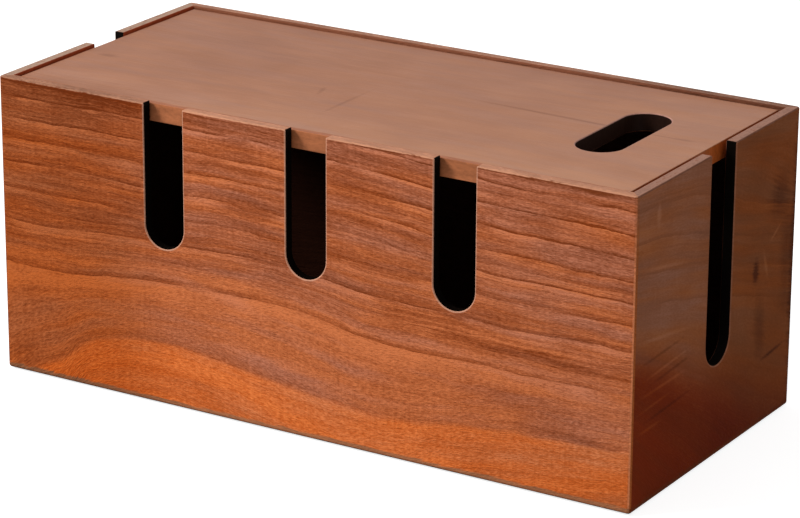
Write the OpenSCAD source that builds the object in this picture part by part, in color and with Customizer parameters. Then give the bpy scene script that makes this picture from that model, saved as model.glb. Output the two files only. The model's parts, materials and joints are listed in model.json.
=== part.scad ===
// Cable management box. Four mitred wooden walls with cable slots, a loose lid with a finger
// hole, a base set up into a rebate, corner posts that carry the lid, and low feet.
// Units are millimetres. X runs along the front, Y from front to back and Z up. The origin is
// under the middle of the box, on the surface that it stands on.

/* [Case] */
// Length of the case from left to right
case_l = 372; // [320:1:420]
// Depth of the case from front to back
case_d = 173; // [150:1:210]
// Height of the rim above the desk
case_h = 161; // [145:1:190]
// Thickness of the four walls
wall_t = 6; // [5:0.5:9]

/* [Eased edges] */
// Radius of the upright outer corners
corner_r = 2; // [1.5:0.5:4]
// Radius along both edges of the rim
rim_r = 0.8; // [0.5:0.1:1.5]
// Radius along the lower outer edge of the walls
hem_r = 1.8; // [0.5:0.1:2]
// Width of the bevel round slots, the finger hole and board edges
arris = 0.4; // [0.3:0.1:1.2]

/* [Front slots] */
// Number of slots in the front wall
front_slots = 3; // [1:1:4]
// Width of a front slot
front_slot_w = 23.5; // [16:0.5:32]
// Depth of a front slot below the rim
front_slot_depth = 75.5; // [50:0.5:100]
// Distance between the middles of two front slots
front_slot_pitch = 85.2; // [60:0.1:90]
// Distance of the row of front slots to the right of the middle
front_slot_shift = 2; // [-6:0.1:6]

/* [End slots] */
// Width of an end slot
end_slot_w = 26; // [16:0.5:32]
// Depth of an end slot below the rim
end_slot_depth = 111.5; // [70:0.5:120]
// Distance of the end slots behind the middle
end_slot_shift = 2; // [-10:0.5:10]

/* [Lid] */
// Thickness of the lid
lid_t = 9.5; // [6:0.5:14]
// Depth of the lid's top below the rim
lid_recess = 1.5; // [0:0.1:4]
// Clearance between the lid and the front, back and left walls
lid_gap = 0.8; // [0.5:0.1:2]
// Clearance between the lid and the right wall, beside the finger hole
lid_end_gap = 3.1; // [0.5:0.1:4]

/* [Finger hole] */
// Width of the finger hole
grip_w = 25; // [18:0.5:32]
// Length of the finger hole from front to back
grip_l = 72.5; // [50:0.5:100]
// Distance of its middle from the outside of the right wall
grip_from_end = 56.2; // [40:0.1:90]
// Distance of its middle behind the middle of the case
grip_shift = 4; // [-10:0.5:10]

/* [Base] */
// Thickness of the base
base_t = 5; // [4:0.5:9]
// Width of the wall rebate that takes the edge of the base
rebate_w = 3; // [2:0.5:3.5]
// Clearance round the base in its rebate
base_gap = 0.2; // [0.1:0.1:0.5]

/* [Corner posts] */
// Width of the two faces that are glued to the walls
post_w = 14; // [12:0.5:20]
// Radius of the post edge that faces into the box
post_r = 4; // [1:0.5:6]

/* [Feet] */
// Diameter of a foot
foot_d = 14; // [10:0.5:20]
// Thickness of a foot
foot_t = 3; // [2:0.5:5]
// Height at which the feet hold the walls above the desk
foot_stand = 1; // [0.5:0.1:2]
// Distance from the outside of the walls to the middle of a foot
foot_inset = 34; // [30:1:60]

/* [Screws] */
// Diameter of the screw shank
screw_d = 3; // [2.5:0.1:3.5]
// Diameter of the countersunk head
screw_head_d = 6; // [5:0.1:7]
// Length of a screw
screw_l = 20; // [15:1:30]
// Clearance round a screw in its hole
screw_gap = 0.1; // [0.05:0.05:0.3]
// Width of an arm of the cross recess
recess_w = 0.8; // [0.6:0.1:1]
// Depth of the cross recess
recess_depth = 1.2; // [0.8:0.1:1.6]

/* [Hidden] */
$fn = 64;
eps = 0.5; // how far a cutter stands out of the board that it cuts

inner_l = case_l - 2 * wall_t;
inner_d = case_d - 2 * wall_t;

base_z = foot_t; // underside of the base
base_top = base_z + base_t;
base_l = inner_l + 2 * (rebate_w - base_gap);
base_d = inner_d + 2 * (rebate_w - base_gap);

lid_top = case_h - lid_recess;
lid_z = lid_top - lid_t; // underside of the lid
lid_l = inner_l - lid_gap - lid_end_gap;
lid_d = inner_d - 2 * lid_gap;
lid_x = (lid_gap - lid_end_gap) / 2; // middle of the lid

post_h = lid_z - base_top;
post_mid_x = inner_l / 2 - post_w / 2;
post_mid_y = inner_d / 2 - post_w / 2;

foot_x = case_l / 2 - foot_inset;
foot_y = case_d / 2 - foot_inset;

head_h = (screw_head_d - screw_d) / 2; // a 90 degree countersink
tip_h = screw_d; // length of the screw's point
recess_arm = screw_head_d * 0.6; // the cross recess from tip to tip

LEFT = -1;
RIGHT = 1;
FRONT = -1;
BACK = 1;

WALL_COLOR = "#A35A35";
LID_COLOR = "#B07F68";
BASE_COLOR = "#8A5A3C";
POST_COLOR = "#5A3524";
FOOT_COLOR = "#2B2B2B";
STEEL_COLOR = "#B9B6AE";

// ---- Shapes shared by several pieces ----

// What rounding takes off a corner at the origin of a shape in the first quadrant
module edge_round(r) {
  difference() {
    translate([-eps, -eps]) square(r + eps);
    translate([r, r]) circle(r);
  }
}

// Rectangle with round corners, centred
module round_rect(w, h, r) {
  square([w - 2 * r, h], center = true);
  square([w, h - 2 * r], center = true);
  for (x = [-1, 1], y = [-1, 1])
    translate([x * (w / 2 - r), y * (h / 2 - r)]) circle(r);
}

// Board with every edge eased, centred in X and Y and standing on Z = 0
module eased_board(l, d, t, r) {
  translate([0, 0, t / 2])
    intersection() {
      linear_extrude(t, center = true) round_rect(l, d, r);
      rotate([90, 0, 0]) linear_extrude(d, center = true) round_rect(l, t, r);
      rotate([90, 0, 90]) linear_extrude(l, center = true) round_rect(d, t, r);
    }
}

// Cutter for a round-ended hole through a board that lies between Z = 0 and Z = t, with a
// bevel round the edge on both faces. The hole is centred and its length runs along Y.
module bevelled_hole(w, l, t) {
  r = w / 2;
  run = l - w;
  flare = arris + eps;
  translate([0, 0, -eps])
    linear_extrude(t + 2 * eps) {
      square([w, run], center = true);
      for (end = [-1, 1])
        translate([0, end * run / 2]) circle(r);
    }
  for (face = [0, 1])
    translate([0, 0, face * t])
      mirror([0, 0, face])
        translate([0, 0, -eps]) {
          for (end = [-1, 1])
            translate([0, end * run / 2, 0]) cylinder(h = flare, r1 = r + flare, r2 = r);
          rotate([90, 0, 0])
            linear_extrude(run, center = true)
              polygon([[-r - flare, 0], [r + flare, 0], [r, flare], [-r, flare]]);
        }
}

// ---- Walls ----

// Section of a wall: Y runs in from the outer face, and the rim is at the top. The rebate
// at the lower inner edge takes the base.
module wall_section() {
  difference() {
    translate([0, foot_stand]) square([wall_t, case_h - foot_stand]);
    translate([0, case_h]) mirror([0, 1]) edge_round(rim_r);
    translate([wall_t, case_h]) rotate(180) edge_round(rim_r);
    translate([0, foot_stand]) edge_round(hem_r);
    translate([wall_t - rebate_w, foot_stand - eps])
      square([rebate_w + eps, base_top - foot_stand + eps]);
  }
}

// Straight run of wall with its outer face on Y = 0 and its length centred on X
module wall_run(l) {
  rotate([90, 0, 90]) linear_extrude(l, center = true) wall_section();
}

// Rounded upright corner, and the start of the next wall behind it
module corner_turn() {
  translate([corner_r, corner_r, 0])
    rotate([0, 0, 180])
      rotate_extrude(angle = 90)
        intersection() {
          translate([corner_r, 0]) mirror([1, 0]) wall_section();
          square([corner_r, case_h]);
        }
  translate([0, corner_r + wall_t / 2, 0]) rotate([0, 0, -90]) wall_run(wall_t);
}

// Wall of length l, mitred at both ends where it meets the next walls
module wall_board(l) {
  intersection() {
    union() {
      wall_run(l - 2 * corner_r);
      for (end = [0, 1])
        mirror([end, 0, 0])
          translate([-l / 2, 0, 0]) corner_turn();
    }
    linear_extrude(case_h + eps)
      polygon([
        [-l / 2 - eps, -eps], [l / 2 + eps, -eps],
        [l / 2 - wall_t - eps, wall_t + eps], [-l / 2 + wall_t + eps, wall_t + eps]
      ]);
  }
}

// Cutter for a cable slot in a wall: straight sides, a round bottom, bevelled on both faces
// and eased where it opens at the rim
module slot_cut(w, depth) {
  cut_l = depth + 2 * w; // the upper round end stays clear above the rim
  mouth = arris + eps;
  translate([0, wall_t, case_h - depth + cut_l / 2])
    rotate([90, 0, 0]) bevelled_hole(w, cut_l, wall_t);
  translate([0, wall_t + eps, case_h + eps])
    rotate([90, 0, 0])
      linear_extrude(wall_t + 2 * eps)
        polygon([
          [-w / 2 - mouth, 0], [w / 2 + mouth, 0], [w / 2, -mouth], [-w / 2, -mouth]
        ]);
}

module front_panel() {
  color(WALL_COLOR)
    translate([0, -case_d / 2, 0])
      difference() {
        wall_board(case_l);
        for (i = [0 : front_slots - 1])
          translate([front_slot_shift + (i - (front_slots - 1) / 2) * front_slot_pitch, 0, 0])
            slot_cut(front_slot_w, front_slot_depth);
      }
}

module back_panel() {
  color(WALL_COLOR)
    translate([0, case_d / 2, 0]) rotate([0, 0, 180]) wall_board(case_l);
}

module end_panel(side) {
  color(WALL_COLOR)
    translate([side * case_l / 2, 0, 0])
      rotate([0, 0, side * 90])
        difference() {
          wall_board(case_d);
          translate([side * end_slot_shift, 0, 0]) slot_cut(end_slot_w, end_slot_depth);
        }
}

// ---- Base, posts, feet and screws ----

// Shank, point and countersunk head of a screw, with its head's face on Z = 0
module screw_body(grow) {
  shank_r = screw_d / 2 + grow;
  head_r = screw_head_d / 2 + grow;
  rotate_extrude()
    polygon([
      [0, 0], [head_r, 0], [shank_r, head_h], [shank_r, screw_l - tip_h], [0, screw_l]
    ]);
}

module at_posts() {
  for (x = [LEFT, RIGHT], y = [FRONT, BACK])
    translate([x * post_mid_x, y * post_mid_y, base_z]) children();
}

module base_panel() {
  color(BASE_COLOR)
    difference() {
      translate([0, 0, base_z]) linear_extrude(base_t) square([base_l, base_d], center = true);
      at_posts() screw_body(screw_gap);
      at_posts() translate([0, 0, -eps]) cylinder(h = eps, d = screw_head_d + 2 * screw_gap);
    }
}

module corner_post(x, y) {
  color(POST_COLOR)
    translate([x * inner_l / 2, y * inner_d / 2, base_top])
      mirror([x == RIGHT ? 1 : 0, 0, 0])
        mirror([0, y == BACK ? 1 : 0, 0])
          difference() {
            linear_extrude(post_h)
              difference() {
                square(post_w);
                translate([post_w, post_w]) rotate(180) edge_round(post_r);
              }
            translate([post_w / 2, post_w / 2, -base_t]) screw_body(screw_gap);
          }
}

module foot(x, y) {
  color(FOOT_COLOR)
    translate([x * foot_x, y * foot_y, 0])
      rotate_extrude()
        difference() {
          square([foot_d / 2, foot_t]);
          translate([foot_d / 2, 0]) mirror([1, 0]) edge_round(arris);
        }
}

module base_screws() {
  color(STEEL_COLOR)
    at_posts()
      difference() {
        screw_body(0);
        for (turn = [0, 90])
          rotate([0, 0, turn])
            translate([-recess_arm / 2, -recess_w / 2, -eps])
              cube([recess_arm, recess_w, recess_depth + eps]);
      }
}

// ---- Lid ----

module lid() {
  color(LID_COLOR)
    difference() {
      translate([lid_x, 0, lid_z]) eased_board(lid_l, lid_d, lid_t, arris);
      translate([case_l / 2 - grip_from_end, grip_shift, lid_z])
        bevelled_hole(grip_w, grip_l, lid_t);
    }
}

front_panel();
back_panel();
end_panel(LEFT);  // left_end_panel
end_panel(RIGHT);  // right_end_panel
base_panel();
lid();
corner_post(LEFT, FRONT);  // corner_post_front_left
corner_post(RIGHT, FRONT);  // corner_post_front_right
corner_post(LEFT, BACK);  // corner_post_back_left
corner_post(RIGHT, BACK);  // corner_post_back_right
foot(LEFT, FRONT);  // foot_front_left
foot(RIGHT, FRONT);  // foot_front_right
foot(LEFT, BACK);  // foot_back_left
foot(RIGHT, BACK);  // foot_back_right
base_screws();
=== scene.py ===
"""Finishes for a wooden cable management box, and the studio that it stands in.

The box is a case of four mitred walls with cable slots, a loose lid with a finger hole that lies
on four corner posts, and a base on four feet with the screws that hold it. Its solids come from
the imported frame. This script gives them their stained wood, rubber and steel. Lengths are in
metres, except on the board axes and where a name ends in _mm.
"""

import json
import logging
import math
from dataclasses import dataclass, replace
from enum import Enum
from itertools import product

import bpy
from mathutils import Euler, Matrix, Vector


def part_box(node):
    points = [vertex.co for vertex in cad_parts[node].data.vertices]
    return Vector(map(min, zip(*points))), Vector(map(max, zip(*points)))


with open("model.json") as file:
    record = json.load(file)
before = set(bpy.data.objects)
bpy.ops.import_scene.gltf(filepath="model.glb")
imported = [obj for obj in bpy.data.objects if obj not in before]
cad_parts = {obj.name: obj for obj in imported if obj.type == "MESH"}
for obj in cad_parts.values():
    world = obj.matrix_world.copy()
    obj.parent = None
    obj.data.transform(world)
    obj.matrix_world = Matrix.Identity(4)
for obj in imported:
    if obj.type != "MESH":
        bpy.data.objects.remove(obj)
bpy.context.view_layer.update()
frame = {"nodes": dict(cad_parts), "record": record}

MM = 0.001
log = logging.getLogger("cable_box")

Curve = tuple[tuple[float, float], ...]
Colour = tuple[float, float, float, float]
Tree = bpy.types.NodeTree
Node = bpy.types.Node
Material = bpy.types.Material
Value = bpy.types.Node | bpy.types.NodeSocket
Reach = dict[str, float]
Nodes = dict[str, bpy.types.Node]


def linear(hex_colour: str) -> Colour:
    """Turns an sRGB hex colour into linear light.

    Args:
        hex_colour: Colour such as "#A35A35".

    Returns:
        Red, green, blue and an alpha of 1.
    """
    levels = [int(hex_colour[i : i + 2], 16) / 255 for i in (1, 3, 5)]
    lit = [v / 12.92 if v <= 0.04045 else ((v + 0.055) / 1.055) ** 2.4 for v in levels]
    return (*lit, 1.0)


def add_node(tree: Tree, kind: str, inputs: dict | None = None, **settings) -> Node:
    """Adds a shader node with its settings, values and links.

    Args:
        tree: Node tree that gets the node.
        kind: Blender's name of the node, without "ShaderNode".
        inputs: Socket, by name or number, to a value, a node or another node's output.
        **settings: Properties of the node, such as its operation.

    Returns:
        The new node. Where it is given as an input, its first live output is used.
    """
    node = tree.nodes.new("ShaderNode" + kind)
    for name, value in settings.items():
        setattr(node, name, value)
    for key, value in (inputs or {}).items():
        if isinstance(key, int):
            socket = node.inputs[key]
        else:
            socket = next(s for s in node.inputs if s.enabled and s.name == key)
        if isinstance(value, Node):
            value = next(s for s in value.outputs if s.enabled)
        if isinstance(value, bpy.types.NodeSocket):
            tree.links.new(value, socket)
        else:
            socket.default_value = value
    return node


def blank(name: str) -> tuple[Material, Tree]:
    """Starts a material.

    Args:
        name: Name of the material.

    Returns:
        The material and its empty node tree.
    """
    made = bpy.data.materials.new(name)
    made.use_nodes = True
    made.node_tree.nodes.clear()
    return made, made.node_tree


class Facing(Enum):
    """Which way the show face of a board looks, as the turn from the row frame to board axes.

    On the board axes X runs along the board from its left end, Y goes in from the show face and
    Z runs across the board.
    """

    FRONT = (0, 0, 0)
    BACK = (0, 0, math.pi)
    LEFT = (0, 0, math.pi / 2)
    RIGHT = (0, 0, -math.pi / 2)
    UP = (math.pi / 2, 0, 0)
    DOWN = (-math.pi / 2, 0, 0)
    UPRIGHT = (0, math.pi / 2, 0)

    @property
    def turn(self) -> Euler:
        """Turn from the row frame to the board axes."""
        return Euler(self.value)


@dataclass(frozen=True)
class Cutout:
    """Round-ended slot or hole in a board, in millimetres on the board axes.

    Attributes:
        middle: Place of its middle line along the board.
        low: Height of the centre of its lower round end.
        high: Height of the centre of its upper round end.
        radius: Half of its width.
    """

    middle: float
    low: float
    high: float
    radius: float


@dataclass(frozen=True)
class Ring:
    """One growth ring, down to the next one.

    Attributes:
        height: Height of its dark line at the left end of the board, in millimetres.
        dark: How dark that line is.
        glow: How bright the wood just below the line is.
        shade: How bright the rest of the ring is, where 0 is the middle tone.
    """

    height: float
    dark: float
    glow: float
    shade: float


@dataclass(frozen=True)
class Mark:
    """Knot, smudge or streak in a board, as an ellipse on the board axes.

    Attributes:
        along: Place of its middle along the board, in millimetres.
        height: Height of its middle, in millimetres.
        length: Half of its length, in millimetres.
        width: Half of its width, in millimetres.
        turn: How far its right end is raised, in degrees.
        tone: How much brighter it is than the wood round it; below 0 it is darker.
    """

    along: float
    height: float
    length: float
    width: float
    turn: float
    tone: float


@dataclass(frozen=True)
class Figure:
    """Growth rings of one board, in millimetres on the board axes.

    Attributes:
        rings: Rings from the lowest up. The second is the edge of the heartwood.
        arch: Rise of the third line along the board.
        tilt: Rise of the upper lines along the board.
        heart: Rise of the heartwood's edge along the board.
        tilt_from: Height at which the lines have all of the tilt.
        darker_along: How far along the board its colour is made darker and more saturated, from 0 to 1.
        heart_fade: Height over which the heartwood passes into the other wood.
        life: How lively the fibres are.
        cloud: How blotchy the stain is.
        seed: Picks the random part of the pattern.
        marks: Knots and smudges.
        edges: How much brighter the colours painted over its wood are along the board; below 0 they are
            darker.
    """

    rings: tuple[Ring, ...]
    arch: Curve
    tilt: Curve
    heart: Curve
    tilt_from: float
    darker_along: Curve
    heart_fade: float
    life: float
    cloud: float
    seed: float
    marks: tuple[Mark, ...] = ()
    edges: Curve = ((0, 0.0), (100, 0.0))


@dataclass(frozen=True)
class Stain:
    """Colours of stained and oiled wood, as sRGB hex values, and its gloss.

    Attributes:
        line: Latewood, the dark line that ends each ring.
        body: Middle of a ring.
        glow: Earlywood, the bright start of a ring.
        heart_line: Darkest part of the heartwood.
        heart_body: Middle tone of the heartwood.
        heart_glow: Brightest part of the heartwood.
        rim: Upper edge face; on the walls its colour has painted sheen in it, which makes it paler.
        rim_arris: Eased outer edge along the rim, partly stain that sanding went through and partly
            painted highlight.
        rim_inner: Eased inner edge along the rim, and the inner face just below it.
        corners: Eased edges at its left and right ends; their colours are painted highlight and painted
            shade on the rounding.
        ends: End grain at its left and right ends.
        hem: Eased lower edge, upper part; on the front it is a pale line, partly wear of the stain and
            partly painted highlight.
        hem_under: Eased lower edge, lower part; on the walls it is dark, painted shade where the edge
            faces the floor.
        outline: Eased edges round slots and holes, paler: partly stain that sanding went through, partly
            painted highlight.
        cheek: Walls of slots and holes, near black: partly a dark stain, partly painted shade.
        inside: Inner face.
        gloss: Strength of the mirror part of the light.
        rough: Roughness of the open grain and of the smooth grain.
        clear: What the stain does to the colour of open wood.
        smoky: What it does to the colour of dense wood.
    """

    line: str
    body: str
    glow: str
    heart_line: str
    heart_body: str
    heart_glow: str
    rim: str
    rim_arris: str
    rim_inner: str
    corners: tuple[str, str]
    ends: str
    hem: str
    hem_under: str
    outline: str
    cheek: str
    inside: str
    gloss: float
    rough: tuple[float, float]
    clear: Colour = (1.06, 0.98, 0.8, 1.0)
    smoky: Colour = (0.92, 1.04, 1.34, 1.0)


@dataclass(frozen=True)
class Coat:
    """Paint that covers the wood where a value passes a threshold.

    Attributes:
        value: Node or socket with the value to test.
        start: Value at which the paint starts.
        full: Value at which it covers the wood.
        paint: Its colour, as an sRGB hex value.
        limit: Share of it that is let through; none stands for all of it.
    """

    value: Value
    start: float
    full: float
    paint: str
    limit: Node | None = None


@dataclass(frozen=True)
class Pattern:
    """Random marks of one size.

    Attributes:
        size: Length, depth and width of each mark, in millimetres.
        detail: Octaves of finer marks on them.
    """

    size: tuple[float, float, float]
    detail: float


PATTERNS = {
    # What bends the rings: a slow sway, and a rag that frays their lines.
    "sway": Pattern((60.0, 40.0, 30.0), 2.0),
    "rag": Pattern((22.0, 6.0, 5.0), 4.0),
    # What lies along them: fibres, long and broad streaks, open pores, blotches, the marks that
    # the saw left across the board, and the dense wood.
    "streak": Pattern((24.0, 4.0, 1.1), 3.0),
    "reed": Pattern((150.0, 8.0, 1.5), 1.0),
    "band": Pattern((120.0, 10.0, 5.0), 2.0),
    "fleck": Pattern((2.4, 1.5, 0.5), 1.0),
    "mottle": Pattern((40.0, 20.0, 18.0), 2.0),
    "chatter": Pattern((0.9, 3.0, 16.0), 1.0),
    "smoke": Pattern((80.0, 10.0, 9.0), 2.0),
}
BENDING = ("sway", "rag")
# Steps in the noise from one seed to the next, and from one pattern to the next.
SEED_STEP = (7.3, 3.1)
PATTERN_STEP = 11.7
# Strength of each octave of a pattern, as a share of the one before it.
OCTAVE_SHARE = 0.6
# How far the patterns bend the rings, in millimetres.
SWAY_MM = 4.5
RAG_MM = 2.8
# How much each pattern brightens and darkens the wood. The heartwood calms the first four.
CALMED = {"streak": 0.8, "reed": 0.55, "band": 0.6, "mottle": 0.2}
FREE = {"fleck": 0.9, "chatter": 0.18}
RELIEF = {"streak": 0.8}
RELIEF_MM = 0.4
# The counter of the rings stays in the range of a curve, about the middle one.
COUNT_STEP = 10.0
MIDDLE_RING = 5.0
COUNT_SPAN = 2 * MIDDLE_RING * COUNT_STEP
# Ranges of the values of the heart line, in millimetres, and of curves of shares.
HEART_SPAN = 200.0
UNIT_SPAN = 2.0
# The lines start to take on the tilt this far above the arch line, in millimetres.
TILT_START = 12.0
# Shares of a ring over which its dark line fades, and its bright wood comes.
LINE_FADE: Reach = {"From Min": 0.17, "From Max": 0.0}
GLOW_RISE: Reach = {"From Min": 0.66, "From Max": 0.97}
# How strongly the rings come and go along the board, and their mean strength.
PATCHINESS = 5.0
PATCH_MEAN = 0.75
# Heights over the third line between which calmed fibres come to full strength, and their first share.
CALM_HEIGHTS = (-4.0, 14.0)
CALM_SHARE = 0.45
# A mark goes right through its board, its edge is ragged, and it fades over these shares of it.
THROUGH = 1e6
MARK_RAG = {"streak": 0.9}
MARK_FADE: Reach = {"From Min": 1.0, "From Max": 0.1}
# Tones of the three stops of a stain.
STOPS = (0.1, 0.5, 0.9)
# Heights between which the wood gets smokier, and how smoky it is there.
SMOKY: Reach = {"From Min": 60.0, "From Max": 100.0, "To Min": 0.3, "To Max": 0.5}
# Distances below the rim between which the wood is made smokier, and how smoky it gets there; and how
# patchy the smoke is.
NEAR_RIM_SMOKE: Reach = {"From Min": 14.0, "From Max": 5.0, "To Max": 0.4}
SMOKE = 3.5
# What the darkening along a board does to the colour: darker and more saturated.
DARKER_TINT = (0.76, 0.62, 0.4, 1.0)
# Distances from a slot or hole at which its eased edge, or its wall, starts and is full.
EDGE_REACH: Reach = {"From Min": 0.8, "From Max": 0.5}
CHEEK_REACH: Reach = {"From Min": 0.45, "From Max": 0.3}
# How much of the normal lies along the depth of the board where a surface starts to be, and is, steep.
STEEP: Reach = {"From Min": 0.75, "From Max": 0.5}
# How unevenly the pale line on the rim's outer edge is broken up, how the paint follows the grain, and
# the hem's wander.
ARRIS_BREAKUP = {"streak": 1.4, "fleck": 0.6}
GRAIN = {"streak": 0.9, "fleck": 0.5}
HEM_WANDER = {"streak": 4.0}
UNDER_WANDER = {"streak": 0.8}
# Distances below the rim between which the painted highlight and shade on the corners get stronger, and
# their share at the rim.
CORNER_PAINT: Reach = {"From Min": 12.0, "From Max": 40.0, "To Min": 0.25}
# Distances below the rim between which the inner face takes the colour of the rim's inner edge.
INNER_RIM: Reach = {"From Min": 13.0, "From Max": 10.0}
# Distance from a slot on a board that has none.
FAR = 1000.0
# Settings for a soft step, for a mix of colours and for a multiplied one.
SMOOTH = {"interpolation_type": "SMOOTHSTEP"}
BLEND = {"data_type": "RGBA"}
MULTIPLY = {**BLEND, "blend_type": "MULTIPLY"}


def add_fibres(tree: Tree, fibre: Nodes, weights: dict[str, float], start: Value | float) -> Value:
    """Adds some of the fibres to a value.

    Args:
        tree: Node tree of the material.
        fibre: Nodes from the fibres.
        weights: How much of each goes in, by name.
        start: Value that they are added to.

    Returns:
        Node with the sum.
    """
    for name, weight in weights.items():
        start = add_node(tree, "Math", {0: fibre[name], 1: weight, 2: start}, operation="MULTIPLY_ADD")
    return start


@dataclass(frozen=True)
class Board:
    """One stained board: where it is, its figure and its colours."""

    node: str
    facing: Facing
    figure: Figure
    stain: Stain
    cutouts: tuple[Cutout, ...] = ()

    def _origin(self) -> Vector:
        """Finds the corner that the board axes start from.

        Returns:
            Left, outer, lower corner of the board, turned to the board axes.
        """
        low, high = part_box(self.node)
        sides = zip(low, high)
        corners = [Vector(corner) for corner in product(*sides)]
        for corner in corners:
            corner.rotate(self.facing.turn)
        return Vector(min(c[i] for c in corners) for i in range(3))

    def _height_mm(self) -> float:
        """Measures the board across its length.

        Returns:
            Size of the board along its own Z, in millimetres.
        """
        low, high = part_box(self.node)
        size = high - low
        size.rotate(self.facing.turn)
        return abs(size.z) / MM

    def material(self) -> Material:
        """Makes the finish of this board.

        Walnut that was planed, stained and oiled: straight rings with a dark latewood line, open pores
        that break up the sheen, and pale arrises, partly where sanding went through the stain and partly
        painted highlight.

        Returns:
            The finished material.
        """
        made, tree = blank(f"stained_walnut_{self.node}")
        place = add_node(tree, "TexCoord")
        axes = {
            "Vector": place.outputs["Object"],
            "Location": -self._origin() / MM,
            "Rotation": self.facing.turn,
            "Scale": (1 / MM,) * 3,
        }
        board = add_node(tree, "Mapping", axes)
        turned = {"Vector": place.outputs["Normal"], "Rotation": self.facing.turn}
        normal = add_node(tree, "Mapping", turned, vector_type="NORMAL")
        rings = self._rings(tree, board)
        fibre = self._fibre(tree, rings)
        tone = self._tone(tree, board, rings, fibre)
        colour = self._colour(tree, board, rings, fibre, tone)
        colour = self._paint(tree, board, normal, fibre, colour)
        open_grain, smooth_grain = self.stain.rough
        reach = {"Value": fibre["streak"], "To Min": open_grain, "To Max": smooth_grain}
        rough = add_node(tree, "MapRange", reach)
        pores = {"Strength": self.figure.life, "Distance": RELIEF_MM * MM, "Height": fibre["relief"]}
        relief = add_node(tree, "Bump", pores)
        looks = {
            "Base Color": colour,
            "Roughness": rough,
            "Specular IOR Level": self.stain.gloss,
            "Normal": relief,
        }
        shader = add_node(tree, "BsdfPrincipled", looks)
        add_node(tree, "OutputMaterial", {"Surface": shader})
        return made

    def _curve(
        self, tree: Tree, curve: Curve, at: Value, span: float = 100.0, handle: str = "AUTO"
    ) -> Node:
        """Reads a drawn curve at one place.

        Args:
            tree: Node tree of the material.
            curve: Points of the curve, from its first place to its last.
            at: Place, in the units of the curve.
            span: Range of values that the curve may take, half of it below 0.
            handle: How the curve passes its points: "AUTO" is smooth, "VECTOR" is straight.

        Returns:
            Node with the value of the curve.
        """
        first, last = curve[0][0], curve[-1][0]
        share = add_node(tree, "MapRange", {"Value": at, "From Min": first, "From Max": last})
        bend = add_node(tree, "FloatCurve", {"Value": share})
        points = bend.mapping.curves[0].points
        while len(points) < len(curve):
            points.new(0.5, 0.5)
        for point, (x, y) in zip(points, curve):
            point.location = ((x - first) / (last - first), 0.5 + y / span)
            point.handle_type = handle
        bend.mapping.update()
        return add_node(tree, "MapRange", {"Value": bend, "To Min": -span / 2, "To Max": span / 2})

    def _noise(self, tree: Tree, at: Node, name: str) -> Node:
        """Draws one of the patterns at random places.

        Args:
            tree: Node tree of the material.
            at: Place in millimetres.
            name: Name of the pattern.

        Returns:
            Node with a value about 0.
        """
        pattern = PATTERNS[name]
        number = 1 + list(PATTERNS).index(name)
        spread = add_node(tree, "VectorMath", {0: at, 1: pattern.size}, operation="DIVIDE")
        seed = self.figure.seed
        apart = (seed * SEED_STEP[0], number * PATTERN_STEP, seed * SEED_STEP[1])
        moved = add_node(tree, "VectorMath", {0: spread, 1: apart}, operation="ADD")
        octaves = {"Detail": pattern.detail, "Roughness": OCTAVE_SHARE}
        noise = add_node(tree, "TexNoise", {"Vector": moved, "Scale": 1.0, **octaves})
        return add_node(tree, "Math", {0: noise, 1: 0.5}, operation="SUBTRACT")

    def _rings(self, tree: Tree, board: Node) -> Nodes:
        """Lays the growth rings on the board.

        Args:
            tree: Node tree of the material.
            board: Place on the board axes.

        Returns:
            Nodes by name: height on the unbent board, phase within a ring, and the place along
            the unbent board as a vector.
        """
        figure = self.figure
        axes = add_node(tree, "SeparateXYZ", {0: board})
        along = axes.outputs[0]
        bends = {name: self._noise(tree, board, name) for name in BENDING}
        height = add_fibres(tree, bends, {"sway": SWAY_MM, "rag": RAG_MM}, axes.outputs[2])
        arch = self._curve(tree, figure.arch, along)
        tilt = self._curve(tree, figure.tilt, along)
        heart = self._curve(tree, figure.heart, along, HEART_SPAN)
        heart_z, arch_z = figure.rings[1].height, figure.rings[2].height
        # Above the arch line, the lines take on the tilt as they get nearer to the top.
        reach = {"Value": height, "From Min": arch_z + TILT_START, "From Max": figure.tilt_from}
        share = add_node(tree, "MapRange", reach, **SMOOTH)
        rise = add_node(tree, "Mix", {"Factor": share, "A": arch, "B": tilt})
        upper = add_node(tree, "Math", {0: height, 1: rise}, operation="SUBTRACT")
        # Below it, they fill the space between the arch line and the heart line.
        arch_line = add_node(tree, "Math", {0: arch, 1: arch_z}, operation="ADD")
        heart_line = add_node(tree, "Math", {0: heart, 1: heart_z}, operation="ADD")
        space = {"From Min": heart_line, "From Max": arch_line, "To Min": heart_z, "To Max": arch_z}
        lower = add_node(tree, "MapRange", {"Value": height, **space}, clamp=False)
        is_upper = add_node(tree, "Math", {0: height, 1: arch_line}, operation="GREATER_THAN")
        unbent = add_node(tree, "Mix", {"Factor": is_upper, "A": lower, "B": upper})
        # The count goes up by one from each growth line to the next.
        lines = tuple(
            (ring.height, (index - MIDDLE_RING) * COUNT_STEP) for index, ring in enumerate(figure.rings)
        )
        counter = self._curve(tree, lines, unbent, COUNT_SPAN, "VECTOR")
        steps = {0: counter, 1: 1 / COUNT_STEP, 2: MIDDLE_RING}
        count = add_node(tree, "Math", steps, operation="MULTIPLY_ADD")
        phase = add_node(tree, "Math", {0: count}, operation="FRACT")
        flow = add_node(tree, "CombineXYZ", {0: along, 1: axes.outputs[1], 2: unbent})
        return {"unbent": unbent, "phase": phase, "flow": flow}

    def _fibre(self, tree: Tree, rings: Nodes) -> Nodes:
        """Draws fibres and saw marks along the rings.

        Args:
            tree: Node tree of the material.
            rings: Nodes from the growth rings.

        Returns:
            Nodes by name: each pattern that doesn't bend the rings, and relief.
        """
        drawn = {name: self._noise(tree, rings["flow"], name) for name in PATTERNS if name not in BENDING}
        return {**drawn, "relief": add_fibres(tree, drawn, RELIEF, drawn["fleck"])}

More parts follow.
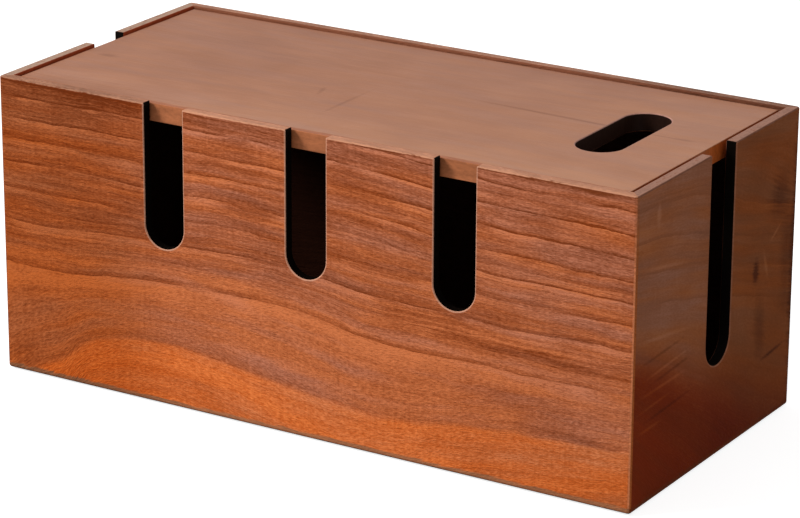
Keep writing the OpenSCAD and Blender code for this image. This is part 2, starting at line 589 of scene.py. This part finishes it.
    def _tone(self, tree: Tree, board: Node, rings: Nodes, fibre: Nodes) -> Node:
        """Adds up rings, fibres and marks.

        Args:
            tree: Node tree of the material.
            board: Place on the board axes.
            rings: Nodes from the growth rings.
            fibre: Nodes from the fibres.

        Returns:
            Node with the tone, from 0 for the darkest to 1 for the brightest wood.
        """
        figure = self.figure
        unbent, phase = rings["unbent"], rings["phase"]
        dark, glow, shade = (
            self._curve(tree, curve, unbent, UNIT_SPAN, "VECTOR")
            for curve in (
                tuple((ring.height, -ring.dark) for ring in figure.rings),
                tuple((ring.height, ring.glow) for ring in figure.rings),
                tuple((ring.height, ring.shade) for ring in figure.rings),
            )
        )
        line = add_node(tree, "MapRange", {"Value": phase, **LINE_FADE}, **SMOOTH)
        under = add_node(tree, "MapRange", {"Value": phase, **GLOW_RISE}, **SMOOTH)
        patches = {0: fibre["mottle"], 1: PATCHINESS, 2: PATCH_MEAN}
        patchy = add_node(tree, "Math", patches, operation="MULTIPLY_ADD", use_clamp=True)
        swing = add_node(tree, "Math", {0: line, 1: dark}, operation="MULTIPLY")
        swing = add_node(tree, "Math", {0: under, 1: glow, 2: swing}, operation="MULTIPLY_ADD")
        tone = add_node(tree, "Math", {0: swing, 1: patchy, 2: shade}, operation="MULTIPLY_ADD")
        tone = add_node(tree, "Math", {0: tone, 1: 0.5}, operation="ADD")
        # The heartwood and the ring above it are calmer than the rest.
        calm_from, calm_to = (figure.rings[2].height + height for height in CALM_HEIGHTS)
        reach = {"Value": unbent, "From Min": calm_from, "From Max": calm_to, "To Min": CALM_SHARE}
        calm = add_node(tree, "MapRange", reach)
        lively = add_fibres(tree, fibre, CALMED, 0.0)
        lively = add_node(tree, "Math", {0: lively, 1: calm}, operation="MULTIPLY")
        lively = add_fibres(tree, fibre, FREE, lively)
        tone = add_node(tree, "Math", {0: lively, 1: figure.life, 2: tone}, operation="MULTIPLY_ADD")
        tone = add_fibres(tree, fibre, {"mottle": figure.cloud}, tone)
        for mark in figure.marks:
            ellipse = {
                "Vector": board,
                "Location": (mark.along, 0, mark.height),
                "Rotation": (0, -math.radians(mark.turn), 0),
                "Scale": (mark.length, THROUGH, mark.width),
            }
            near = add_node(tree, "Mapping", ellipse, vector_type="TEXTURE")
            away = add_node(tree, "VectorMath", {0: near}, operation="LENGTH").outputs["Value"]
            ragged = add_fibres(tree, fibre, MARK_RAG, away)
            seen = add_node(tree, "MapRange", {"Value": ragged, **MARK_FADE}, **SMOOTH)
            tone = add_node(tree, "Math", {0: seen, 1: mark.tone, 2: tone}, operation="MULTIPLY_ADD")
        return tone

    def _colour(self, tree: Tree, board: Node, rings: Nodes, fibre: Nodes, tone: Node) -> Node:
        """Stains the wood.

        Args:
            tree: Node tree of the material.
            board: Place on the board axes.
            rings: Nodes from the growth rings.
            fibre: Nodes from the fibres.
            tone: Tone of the wood.

        Returns:
            Node with the colour.
        """
        stain, figure = self.stain, self.figure
        shades = []
        for colours in (
            (stain.line, stain.body, stain.glow),
            (stain.heart_line, stain.heart_body, stain.heart_glow),
        ):
            ramp = add_node(tree, "ValToRGB", {"Fac": tone})
            stops = ramp.color_ramp.elements
            stops.new(STOPS[1])
            for stop, position, colour in zip(stops, STOPS, colours):
                stop.position = position
                stop.color = linear(colour)
            shades.append(ramp)
        heart_z, fade = figure.rings[1].height, figure.heart_fade
        reach = {"Value": rings["unbent"], "From Min": heart_z + fade, "From Max": heart_z - fade}
        is_heart = add_node(tree, "MapRange", reach, **SMOOTH)
        colour = add_node(tree, "Mix", {"Factor": is_heart, "A": shades[0], "B": shades[1]}, **BLEND)
        # Denser wood takes less of the orange stain and looks smoky, and the wood just below the rim is
        # made smokier too.
        place = add_node(tree, "SeparateXYZ", {0: board})
        high = add_node(tree, "MapRange", {"Value": rings["unbent"], **SMOKY})
        under_rim = self._below_rim(tree, place, NEAR_RIM_SMOKE)
        smoky = add_node(tree, "Math", {0: high, 1: under_rim}, operation="ADD")
        smoke = {0: fibre["smoke"], 1: SMOKE, 2: smoky}
        smoky = add_node(tree, "Math", smoke, operation="MULTIPLY_ADD", use_clamp=True)
        tint = add_node(tree, "Mix", {"Factor": smoky, "A": stain.clear, "B": stain.smoky}, **BLEND)
        # Along the board the colour is made darker and more saturated, as its curve says.
        darker_share = self._curve(tree, figure.darker_along, place.outputs[0], UNIT_SPAN)
        for share, coat in ((1.0, tint), (darker_share, DARKER_TINT)):
            colour = add_node(tree, "Mix", {"Factor": share, "A": colour, "B": coat}, **MULTIPLY)
        return colour

    def _below_rim(self, tree: Tree, place: Node, reach: Reach) -> Node:
        """Measures how near a point is to the rim.

        Args:
            tree: Node tree of the material.
            place: Node that splits the board coordinates.
            reach: Two distances below the rim, in millimetres, and the values there.

        Returns:
            Node with the value, which changes between the two distances.
        """
        top = self._height_mm()
        below = {**reach, "From Min": top - reach["From Min"], "From Max": top - reach["From Max"]}
        return add_node(tree, "MapRange", {"Value": place.outputs[2], **below})

    def _paint(self, tree: Tree, board: Node, normal: Node, fibre: Nodes, colour: Node) -> Node:
        """Paints edges, cheeks and the inside over the wood, with painted sheen, highlights and shade
        among them.

        Args:
            tree: Node tree of the material.
            board: Place on the board axes.
            normal: Normal on the board axes.
            fibre: Nodes from the fibres.
            colour: Colour of the wood.

        Returns:
            Node with the colour.
        """
        stain = self.stain
        place = add_node(tree, "SeparateXYZ", {0: board})
        facing = add_node(tree, "SeparateXYZ", {0: normal})
        side, depth, up = facing.outputs
        outer = add_node(tree, "Math", {0: depth, 1: -1.0}, operation="MULTIPLY")
        lift = add_node(tree, "Math", {0: outer, 1: up}, operation="MULTIPLY")
        across = add_node(tree, "Math", {0: side, 1: outer}, operation="MULTIPLY")
        down = add_node(tree, "Math", {0: up, 1: -1.0}, operation="MULTIPLY")
        flat = add_node(tree, "Math", {0: depth}, operation="ABSOLUTE")
        gap = self._to_cutout(tree, place)
        at_edge = add_node(tree, "MapRange", {"Value": gap, **EDGE_REACH})
        at_cheek = add_node(tree, "MapRange", {"Value": gap, **CHEEK_REACH})
        steep = add_node(tree, "MapRange", {"Value": flat, **STEEP})
        edge_on = add_node(tree, "Math", {0: side}, operation="ABSOLUTE")
        wear_and_highlight = add_fibres(tree, fibre, ARRIS_BREAKUP, lift)
        wear_and_highlight = add_node(tree, "Math", {0: wear_and_highlight, 1: up}, operation="MINIMUM")
        bright = self._curve(tree, self.figure.edges, place.outputs[0], UNIT_SPAN)
        bright = add_node(tree, "Math", {0: bright, 1: 1.0}, operation="ADD")
        grain = add_fibres(tree, fibre, GRAIN, bright)
        low = add_fibres(tree, fibre, HEM_WANDER, place.outputs[2])
        under_hem = add_fibres(tree, fibre, UNDER_WANDER, down)
        corner_light_share = self._below_rim(tree, place, CORNER_PAINT)
        by_rim = self._below_rim(tree, place, INNER_RIM)
        coats = (
            # Painted sheen: the rim's colour is paler than the faces' where the tops catch the light.
            Coat(up, 0.8, 0.95, stain.rim),
            # Painted highlight and painted shade on the eased corners, weaker near the rim.
            Coat(across, -0.15, -0.35, stain.corners[0], corner_light_share),
            Coat(across, 0.2, 0.4, stain.corners[1], corner_light_share),
            # Pale line on the rim's outer edge: partly stain that sanding went through, partly painted
            # highlight.
            Coat(wear_and_highlight, 0.12, 0.3, stain.rim_arris),
            # Pale line along the lower edge: partly wear of the stain, partly painted highlight.
            Coat(low, 3.6, 2.6, stain.hem),
            Coat(lift, -0.1, -0.3, stain.rim_inner),
            Coat(edge_on, 0.8, 0.95, stain.ends),
            Coat(depth, 0.5, 0.9, stain.inside),
            Coat(depth, 0.5, 0.9, stain.rim_inner, by_rim),
            Coat(down, 0.15, 0.35, stain.hem),
            # Dark lower part of the lower edge: painted shade where the edge faces the floor.
            Coat(under_hem, 0.5, 0.65, stain.hem_under),
            # Near-black walls of slots and holes: partly a dark stain, partly painted shade.
            Coat(steep, 0.2, 0.8, stain.cheek, at_cheek),
            # Pale edges round slots and holes: partly stain that sanding went through, partly painted
            # highlight.
            Coat(outer, 0.35, 0.5, stain.outline, at_edge),
        )
        for coat in coats:
            reach = {"Value": coat.value, "From Min": coat.start, "From Max": coat.full}
            mask = add_node(tree, "MapRange", reach)
            if coat.limit is not None:
                mask = add_node(tree, "Math", {0: mask, 1: coat.limit}, operation="MULTIPLY")
            paint = {"Factor": 1.0, "A": linear(coat.paint), "B": grain}
            grained = add_node(tree, "Mix", paint, **MULTIPLY)
            colour = add_node(tree, "Mix", {"Factor": mask, "A": colour, "B": grained}, **BLEND)
        return colour

    def _to_cutout(self, tree: Tree, place: Node) -> Value | float:
        """Measures how far a point is from the nearest slot or hole.

        Args:
            tree: Node tree of the material.
            place: Node that splits the board coordinates.

        Returns:
            Node with the distance, in millimetres, or a large number on a plain board.
        """
        nearest: Value | float = FAR
        for cut in self.cutouts:
            along, _, height = place.outputs
            aside = add_node(tree, "Math", {0: along, 1: cut.middle}, operation="SUBTRACT")
            level = add_node(tree, "Clamp", {"Value": height, "Min": cut.low, "Max": cut.high})
            above = add_node(tree, "Math", {0: height, 1: level}, operation="SUBTRACT")
            step = add_node(tree, "CombineXYZ", {0: aside, 1: above})
            away = add_node(tree, "VectorMath", {0: step}, operation="LENGTH").outputs["Value"]
            away = add_node(tree, "Math", {0: away, 1: cut.radius}, operation="SUBTRACT")
            nearest = add_node(tree, "Math", {0: away, 1: nearest}, operation="MINIMUM")
        return nearest


CORNERS = ("front_left", "front_right", "back_left", "back_right")
FRONT_FIGURE = Figure(
    rings=(
        Ring(-12.0, 0.0, 0.0, 0.0),
        Ring(32.0, 0.08, 0.04, 0.14),
        Ring(60.0, 0.34, 0.18, 0.22),
        Ring(84.0, 0.34, 0.3, 0.04),
        Ring(100.5, 0.24, 0.2, 0.0),
        Ring(115.5, 0.38, 0.28, 0.02),
        Ring(128.0, 0.36, 0.28, 0.0),
        Ring(139.5, 0.38, 0.3, 0.0),
        Ring(151.0, 0.56, 0.36, 0.02),
        Ring(162.3, 0.6, 0.06, 0.02),
        Ring(176.0, 0.3, 0.0, 0.0),
    ),
    arch=(
        (0, 0), (35, 0.3), (85, 4.6), (110, 5.8), (165, 8.3), (200, 4.6), (218, 1.3), (240, -0.2),
        (300, -0.4), (372, 0.3),
    ),
    tilt=((0, 0), (120, 0), (175, -1), (201, -2), (240, -5), (260, -7), (287, -8.3), (372, -11)),
    heart=(
        (0, -44), (20, -29), (36, -21), (48, -11), (62, -5), (90, 0), (125, 0), (155, -4), (185, -8),
        (215, -11), (245, -10.5), (275, -7), (325, -3), (372, 0),
    ),
    tilt_from=116.0,
    darker_along=((0, 1.0), (60, 0.95), (95, 0.5), (125, 0.0), (372, 0.0)),
    heart_fade=1.5,
    life=1.0,
    cloud=0.15,
    seed=1.0,
    marks=(
        Mark(320, 44, 62, 11, -3, -0.14),
        Mark(315, 70, 76, 4, -2, -0.36),
        Mark(338, 33, 52, 3.5, -1, -0.26),
        Mark(12, 12, 16, 14, 0, -0.12),
        Mark(335, 98, 62, 32, 0, 0.1),
        Mark(315, 159.5, 60, 1.5, 0, -0.5),
        Mark(354, 158.7, 28, 2.2, 0, -0.5),
        Mark(232, 159.6, 34, 1.4, 0, -0.5),
        Mark(232, 157.5, 34, 1.8, 0, 0.45),
        Mark(90, 158.3, 110, 1.2, 0, -0.3),
        Mark(36, 159, 60, 2.4, 0, -0.5),
        Mark(80, 156, 120, 7, 0, -0.24),
        Mark(290, 155, 100, 7, 0, 0.1),
        Mark(332, 146, 50, 4.5, -3, -0.14),
    ),
    edges=((0, -0.25), (70, -0.25), (110, 0.05), (140, 0.12), (210, 0.1), (372, 0.08)),
)
END_FIGURE = Figure(
    rings=(
        Ring(-30.0, 0.0, 0.0, 0.0),
        Ring(80.0, 0.05, 0.02, 0.0),
        Ring(104.0, 0.08, 0.04, 0.0),
        Ring(120.0, 0.08, 0.04, 0.0),
        Ring(136.0, 0.08, 0.04, 0.0),
        Ring(152.0, 0.08, 0.04, 0.0),
        Ring(168.0, 0.0, 0.0, 0.0),
    ),
    arch=((0, 0), (60, -12), (110, -26), (173, -45)),
    tilt=((0, 0), (60, -8), (173, -30)),
    heart=((0, 0), (60, -25), (110, -50), (150, -70), (173, -80)),
    tilt_from=150.0,
    darker_along=((0, 0), (60, 0), (105, 0.9), (173, 1)),
    heart_fade=14.0,
    life=0.22,
    cloud=0.18,
    seed=5.0,
    marks=(
        Mark(128, 85, 5, 9, 0, -0.5),
        Mark(134, 54, 9, 26, 5, -0.2),
        Mark(153, 119, 16, 18, 20, -0.26),
        Mark(164, 85, 13, 40, 0, -0.2),
        Mark(172, 80, 7, 110, 0, -0.4),
        Mark(150, 36, 18, 1.6, 4, -0.35),
        Mark(149, 100, 9, 1.6, 30, 0.22),
        Mark(139, 86, 2.2, 12, 20, 0.2),
        Mark(21, 145, 3, 9, 0, 0.14),
        Mark(30, 117, 34, 1.6, -10, 0.12),
        Mark(30, 82, 34, 1.6, -8, 0.12),
        Mark(30, 57, 32, 1.5, 0, 0.18),
        Mark(17, 39, 16, 1.5, 0, 0.15),
        Mark(34, 66, 30, 1.3, 3, 0.18),
        Mark(22, 50, 22, 1.3, 2, 0.15),
        Mark(28, 74, 30, 1.3, 2, -0.2),
        Mark(38, 62, 30, 1.3, 3, -0.2),
        Mark(36, 44, 34, 1.4, 2, -0.2),
    ),
)
# On the lid the rings only make it brighter toward its front edge and a little darker at the back, and
# the broad marks make its left darker and its right brighter.
LID_FIGURE = Figure(
    rings=(
        Ring(-60.0, 0.0, 0.0, 0.3),
        Ring(-20.0, 0.0, 0.0, 0.3),
        Ring(8.0, 0.05, 0.0, 0.2),
        Ring(36.0, 0.05, 0.02, 0.04),
        Ring(110.0, 0.05, 0.02, 0.0),
        Ring(150.0, 0.05, 0.02, 0.0),
        Ring(200.0, 0.0, 0.0, -0.05),
    ),
    arch=((0, 0), (180, 6), (372, -4)),
    tilt=((0, 0), (180, -4), (372, 5)),
    heart=((0, 0), (180, 3), (372, 0)),
    tilt_from=120.0,
    darker_along=((0, 0), (372, 0)),
    heart_fade=1.0,
    life=0.2,
    cloud=0.5,
    seed=9.0,
    marks=(
        Mark(60, 90, 130, 130, 0, -0.14),
        Mark(340, 90, 110, 130, 0, 0.16),
        Mark(276, 90, 76, 2.2, -2.4, -0.45),
        Mark(340, 88, 9, 2, 0, -0.35),
        Mark(166, 54, 1.8, 30, 0, -0.3),
        Mark(145, 64, 2, 10, 15, -0.3),
        Mark(15, 59, 9, 4, 0, -0.35),
        Mark(38, 2, 78, 18, 0, -0.38),
        Mark(330, 6, 80, 20, 0, 0.16),
    ),
)
FRONT_STAIN = Stain(
    line="#7D3918",
    body="#A35835",
    glow="#CB7850",
    heart_line="#944216",
    heart_body="#BE5F2C",
    heart_glow="#E4824A",
    rim="#B17C62",
    rim_arris="#B98265",
    rim_inner="#6E3A28",
    corners=("#96502A", "#D88256"),
    ends="#4A2818",
    hem="#9A6444",
    hem_under="#3C2216",
    outline="#C08A70",
    cheek="#0A0604",
    inside="#341A10",
    gloss=0.02,
    rough=(0.62, 0.5),
)
# The end walls' colours are darker than the front's: partly a darker stain, partly painted shade on faces
# that the lamp doesn't reach. The left end takes them too.
END_STAIN_AND_SHADE = Stain(
    line="#5E3018",
    body="#975A39",
    glow="#BE8060",
    heart_line="#4A1400",
    heart_body="#722605",
    heart_glow="#9A481C",
    rim="#9C7362",
    rim_arris="#7E5240",
    rim_inner="#80503E",
    corners=("#A0562C", "#4A2614"),
    ends="#4A2818",
    hem="#6A2E12",
    hem_under="#3C1A0A",
    outline="#9A6248",
    cheek="#0A0604",
    inside="#341A10",
    gloss=0.02,
    rough=(0.62, 0.5),
)
LID_STAIN = Stain(
    line="#8C5C45",
    body="#A06D54",
    glow="#B27E62",
    heart_line="#8C5C45",
    heart_body="#A06D54",
    heart_glow="#B27E62",
    # The lid's back edge is dark as painted shade of the gap behind the lid.
    rim="#50301E",
    rim_arris="#C49A80",
    rim_inner="#341A10",
    corners=("#A06A4A", "#A06A4A"),
    ends="#A85220",
    hem="#A06040",
    hem_under="#A4623E",
    outline="#B08070",
    cheek="#24120A",
    inside="#341A10",
    gloss=0.1,
    rough=(0.52, 0.44),
    clear=(1.03, 1.0, 0.92, 1.0),
    smoky=(0.97, 1.0, 1.06, 1.0),
)
BACK_FIGURE = replace(
    FRONT_FIGURE,
    arch=((0, 0), (90, -3), (180, 4), (270, 9), (372, 2)),
    tilt=((0, 0), (120, 3), (250, -4), (372, -1)),
    heart=((0, -20), (90, -8), (200, 6), (300, 2), (372, -12)),
    darker_along=((0, 0.2), (372, 0.5)),
    seed=2.0,
    marks=(Mark(118, 74, 9, 5, 10, -0.6), Mark(118, 74, 26, 12, 5, -0.15)),
)
BACK_STAIN = replace(
    FRONT_STAIN,
    rim="#9A6E5A",
    rim_arris="#A87860",
    rim_inner="#7E4C36",
    corners=("#A8663C", "#A8663C"),
)
LEFT_FIGURE = replace(END_FIGURE, seed=6.0, marks=(Mark(52, 48, 7, 5, 0, -0.6),))
# The left end's inside is paler than the other walls': painted light inside the closed box.
LEFT_STAIN = replace(
    END_STAIN_AND_SHADE, rim="#AA8A77", rim_inner="#9A4426", corners=("#8A4A26", "#96502A"), inside="#4A2A1C"
)
BOTTOM_FIGURE = replace(LID_FIGURE, life=0.7, seed=11.0, marks=())
BOTTOM_STAIN = replace(
    LID_STAIN,
    line="#3C281C",
    body="#543A2B",
    glow="#684A38",
    heart_line="#3C281C",
    heart_body="#543A2B",
    heart_glow="#684A38",
    rim="#4A3226",
    rim_arris="#6A4C3A",
    rim_inner="#4C3427",
    corners=("#5A3E2E", "#5A3E2E"),
    ends="#3A261A",
    hem="#5A3E2E",
    hem_under="#4A3226",
    inside="#4C3427",
    gloss=0.05,
    rough=(0.75, 0.62),
)
# Seed of the first post; each of the others takes the next one.
POST_SEED = 13


def wear(node: str, material: Material) -> None:
    """Gives a solid of the frame its one material.

    Args:
        node: Name of the node.
        material: Finish that it gets.
    """
    piece = frame["nodes"][node]
    piece.data.materials.clear()
    piece.data.materials.append(material)
    log.info("dressed %s in %s", node, material.name)


def opening_middle(name: str) -> Vector:
    """Middle of one of the record's openings.

    Args:
        name: Name of the opening in the record.

    Returns:
        Its middle in the row frame.
    """
    found = next(o for o in frame["record"]["physics"]["openings"] if o["name"] == name)
    low, high = found["box_m"]
    return (Vector(low) + Vector(high)) / 2


@dataclass
class Case:
    """Four walls of the case, mitred at the corners."""

    front_slot_width: float = 0.0235
    front_slot_depth: float = 0.0755
    end_slot_width: float = 0.026
    end_slot_depth: float = 0.1115

    def _slot(self, along: float, top: float, width: float, depth: float) -> Cutout:
        """Slot that is open at the rim, with its upper end far above it."""
        radius = width / 2
        return Cutout(along / MM, (top - depth + radius) / MM, 2 * top / MM, radius / MM)

    def boards(self) -> list[Board]:
        """Lists the four walls with their slots.

        Returns:
            The boards of the case.
        """
        low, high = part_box("front_panel")
        top = high.z - low.z
        middles = [opening_middle(f"front_slot_{side}").x - low.x for side in ("left", "middle", "right")]
        front_slots = tuple(
            self._slot(middle, top, self.front_slot_width, self.front_slot_depth) for middle in middles
        )
        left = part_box("left_end_panel")[1].y - opening_middle("end_slot_left").y
        right = opening_middle("end_slot_right").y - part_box("right_end_panel")[0].y
        left_slot, right_slot = (
            self._slot(middle, top, self.end_slot_width, self.end_slot_depth) for middle in (left, right)
        )
        return [
            Board("front_panel", Facing.FRONT, FRONT_FIGURE, FRONT_STAIN, front_slots),
            Board("back_panel", Facing.BACK, BACK_FIGURE, BACK_STAIN),
            Board("left_end_panel", Facing.LEFT, LEFT_FIGURE, LEFT_STAIN, (left_slot,)),
            Board("right_end_panel", Facing.RIGHT, END_FIGURE, END_STAIN_AND_SHADE, (right_slot,)),
        ]


@dataclass
class Lid:
    """Loose lid with its finger hole."""

    grip_width: float = 0.025
    grip_length: float = 0.0725

    def boards(self) -> list[Board]:
        """Lists the lid's one board.

        Returns:
            The board of the lid.
        """
        low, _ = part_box("lid")
        middle = opening_middle("finger_hole") - low
        radius = self.grip_width / 2
        reach = self.grip_length / 2 - radius
        hole = Cutout(middle.x / MM, (middle.y - reach) / MM, (middle.y + reach) / MM, radius / MM)
        return [Board("lid", Facing.UP, LID_FIGURE, LID_STAIN, (hole,))]


def add_clouds(tree: Tree, size_mm: float, detail: float, dark: str, pale: str) -> tuple[Node, Node]:
    """Mixes two colours in random clouds.

    Args:
        tree: Node tree of the material.
        size_mm: Size of the clouds, in millimetres.
        detail: Octaves of finer clouds on them.
        dark: One colour, as an sRGB hex value.
        pale: The other colour.

    Returns:
        Nodes with the clouds and with the colour.
    """
    place = add_node(tree, "TexCoord").outputs["Object"]
    place = add_node(tree, "Mapping", {"Vector": place, "Scale": (1 / MM,) * 3})
    cloud = add_node(tree, "VectorMath", {0: place, 1: (size_mm,) * 3}, operation="DIVIDE")
    cloud = add_node(tree, "TexNoise", {"Vector": cloud, "Scale": 1.0, "Detail": detail})
    tones = {"Factor": cloud, "A": linear(dark), "B": linear(pale)}
    return cloud, add_node(tree, "Mix", tones, **BLEND)


@dataclass(frozen=True)
class MouldedRubber:
    """Finish of the feet.

    Attributes:
        dark: Colour in the hollows of the grain, darker there as painted shade.
        pale: Colour on its tops, paler there as painted sheen.
        grain_mm: Size of the grain, in millimetres.
        detail: Octaves of finer grain on it.
        grain_depth_mm: Depth of the grain, in millimetres.
        relief: How clearly the grain shows in the light.
        rough: Roughness of the surface.
        gloss: Strength of the mirror part of the light.
    """

    dark: str = "#262626"
    pale: str = "#3A3938"
    grain_mm: float = 0.6
    detail: float = 2.0
    grain_depth_mm: float = 0.1
    relief: float = 0.6
    rough: float = 0.8
    gloss: float = 0.3

    def material(self) -> Material:
        """Makes the finish.

        Moulded black rubber: matt, with a fine spark-eroded grain that greys its highlights; its pale
        tops and dark hollows are painted sheen and painted shade.

        Returns:
            The finished material.
        """
        made, tree = blank("moulded_rubber")
        grain, colour = add_clouds(tree, self.grain_mm, self.detail, self.dark, self.pale)
        bump = {"Strength": self.relief, "Distance": self.grain_depth_mm * MM, "Height": grain}
        looks = {
            "Base Color": colour,
            "Roughness": self.rough,
            "Specular IOR Level": self.gloss,
            "Normal": add_node(tree, "Bump", bump),
        }
        shader = add_node(tree, "BsdfPrincipled", looks)
        add_node(tree, "OutputMaterial", {"Surface": shader})
        return made


@dataclass(frozen=True)
class ZincPlatedSteel:
    """Finish of the screws.

    Attributes:
        dark: Colour where the plating is thick.
        pale: Colour where it is thin.
        cloud_mm: Size of the clouds in the plating, in millimetres.
        detail: Octaves of finer clouds on them.
        rough: Roughness of the dark and of the pale plating.
    """

    dark: str = "#A9AAA8"
    pale: str = "#D0D0CC"
    cloud_mm: float = 1.5
    detail: float = 3.0
    rough: tuple[float, float] = (0.28, 0.45)

    def material(self) -> Material:
        """Makes the finish.

        Cold-formed steel, zinc plated: a soft grey mirror, cloudy where the plating is thick.

        Returns:
            The finished material.
        """
        made, tree = blank("zinc_plated_steel")
        cloud, colour = add_clouds(tree, self.cloud_mm, self.detail, self.dark, self.pale)
        low, high = self.rough
        rough = add_node(tree, "MapRange", {"Value": cloud, "To Min": low, "To Max": high})
        looks = {"Base Color": colour, "Roughness": rough, "Metallic": 1.0}
        shader = add_node(tree, "BsdfPrincipled", looks)
        add_node(tree, "OutputMaterial", {"Surface": shader})
        return made


@dataclass
class Bottom:
    """Base board, the posts that carry the lid, the feet and the screws."""

    feet: MouldedRubber = MouldedRubber()
    screws: ZincPlatedSteel = ZincPlatedSteel()

    def boards(self) -> list[Board]:
        """Lists the base and the four corner posts.

        Returns:
            The boards that are out of sight when the box stands closed.
        """
        base = Board("base_panel", Facing.DOWN, BOTTOM_FIGURE, BOTTOM_STAIN)
        posts = [
            Board(f"corner_post_{place}", Facing.UPRIGHT, replace(BOTTOM_FIGURE, seed=seed), BOTTOM_STAIN)
            for seed, place in enumerate(CORNERS, POST_SEED)
        ]
        return [base, *posts]

    def dress(self) -> None:
        """Gives the feet and the screws their finish."""
        rubber = self.feet.material()
        for place in CORNERS:
            wear(f"foot_{place}", rubber)
        wear("base_screws", self.screws.material())


@dataclass
class Studio:
    """Floor, light and camera.

    Attributes:
        eye: Place of the camera.
        right: Direction from the camera to the right of the picture.
        down: Direction to the bottom of the picture.
        forward: Direction in which the camera looks.
        lens_mm: Focal length of the camera, in millimetres.
        sensor_mm: Width of its sensor, in millimetres.
        clip: Nearest and farthest distance that it sees.
        floor_size: Width of the floor.
        paper: How much of the light the floor sends back.
        glow: How much the floor is lifted toward white for the rays that show it.
        sky: Strength of the sky for the rays that only light.
        lamp_size: Width of the lamp.
        lamp_power: Power of the lamp, in watts.
        lamp_azimuth: How far the lamp hangs round to the left of the front, in degrees.
        lamp_elevation: How high it hangs, in degrees.
        lamp_distance: How far it is from the box.
    """

    eye: tuple[float, float, float] = (0.9093, -1.47804, 0.67432)
    right: tuple[float, float, float] = (0.8516834, 0.524029, 0.005388)
    down: tuple[float, float, float] = (0.1765244, -0.2771872, -0.9444609)
    forward: tuple[float, float, float] = (-0.4934314, 0.8053328, -0.3285796)
    lens_mm: float = 160.1778
    sensor_mm: float = 36.0
    clip: tuple[float, float] = (0.1, 50.0)
    floor_size: float = 30.0
    paper: float = 0.55
    glow: float = 0.82
    sky: float = 0.45
    lamp_size: float = 0.6
    lamp_power: float = 49.0
    lamp_azimuth: float = 48.0
    lamp_elevation: float = 40.0
    lamp_distance: float = 2.4

    def _seen(self, tree: Tree) -> Value | float:
        """Tells rays that show a picture, direct or mirrored, from rays that only light.

        Args:
            tree: Node tree of the floor or the world.

        Returns:
            Node with 1 for a ray that shows a picture and 0 for the rest.
        """
        path = add_node(tree, "LightPath")
        seen: Value | float = 0.0
        for ray in ("Is Camera Ray", "Is Glossy Ray", "Is Transmission Ray"):
            seen = add_node(tree, "Math", {0: path.outputs[ray], 1: seen}, operation="MAXIMUM")
        return seen

    def floor(self) -> None:
        """Lays a plain white floor that keeps the shadow of the box."""
        bpy.ops.mesh.primitive_plane_add(size=self.floor_size)
        floor = bpy.context.object
        floor.name = "floor"
        made, tree = blank("white_paper")
        paper = add_node(tree, "BsdfDiffuse", {"Color": (self.paper, self.paper, self.paper, 1)})
        lift = add_node(tree, "Math", {0: self._seen(tree), 1: self.glow}, operation="MULTIPLY")
        glow = add_node(tree, "Emission", {"Strength": lift})
        both = add_node(tree, "AddShader", {0: paper, 1: glow})
        add_node(tree, "OutputMaterial", {"Surface": both})
        floor.data.materials.append(made)

    def world(self) -> None:
        """Gives an even sky that the camera sees as white."""
        world = bpy.data.worlds.new("studio")
        bpy.context.scene.world = world
        world.use_nodes = True
        tree = world.node_tree
        tree.nodes.clear()
        level = add_node(tree, "MapRange", {"Value": self._seen(tree), "To Min": self.sky})
        sky = add_node(tree, "Background", {"Color": (1, 1, 1, 1), "Strength": level})
        add_node(tree, "OutputWorld", {"Surface": sky})

    def lamps(self) -> None:
        """Hangs one large soft lamp at the front left."""
        data = bpy.data.lights.new("key", "AREA")
        data.shape = "SQUARE"
        data.size = self.lamp_size
        data.energy = self.lamp_power
        lamp = bpy.data.objects.new("key", data)
        bpy.context.scene.collection.objects.link(lamp)
        azimuth, elevation = math.radians(self.lamp_azimuth), math.radians(self.lamp_elevation)
        toward = Vector(
            (
                -math.sin(azimuth) * math.cos(elevation),
                -math.cos(azimuth) * math.cos(elevation),
                math.sin(elevation),
            )
        )
        lamp.location = toward * self.lamp_distance
        lamp.rotation_mode = "QUATERNION"
        lamp.rotation_quaternion = lamp.location.to_track_quat("Z", "Y")

    def camera(self) -> None:
        """Sets the camera at its measured place."""
        data = bpy.data.cameras.new("camera")
        data.lens = self.lens_mm
        data.sensor_width = self.sensor_mm
        data.clip_start, data.clip_end = self.clip
        camera = bpy.data.objects.new("camera", data)
        bpy.context.scene.collection.objects.link(camera)
        turn = Matrix((self.right, -Vector(self.down), -Vector(self.forward))).transposed()
        camera.matrix_world = Matrix.Translation(self.eye) @ turn.to_4x4()
        bpy.context.scene.camera = camera

    def build(self) -> None:
        """Sets up the whole studio."""
        bpy.context.scene.view_settings.view_transform = "Standard"
        self.floor()
        self.world()
        self.lamps()
        self.camera()


def main() -> None:
    """Dresses the box and sets up the studio."""
    logging.basicConfig(level=logging.INFO, format="%(message)s")
    bpy.ops.object.select_all(action="DESELECT")
    bottom = Bottom()
    for board in Case().boards() + Lid().boards() + bottom.boards():
        wear(board.node, board.material())
    bottom.dress()
    Studio().build()


if __name__ == "__main__":
    main()
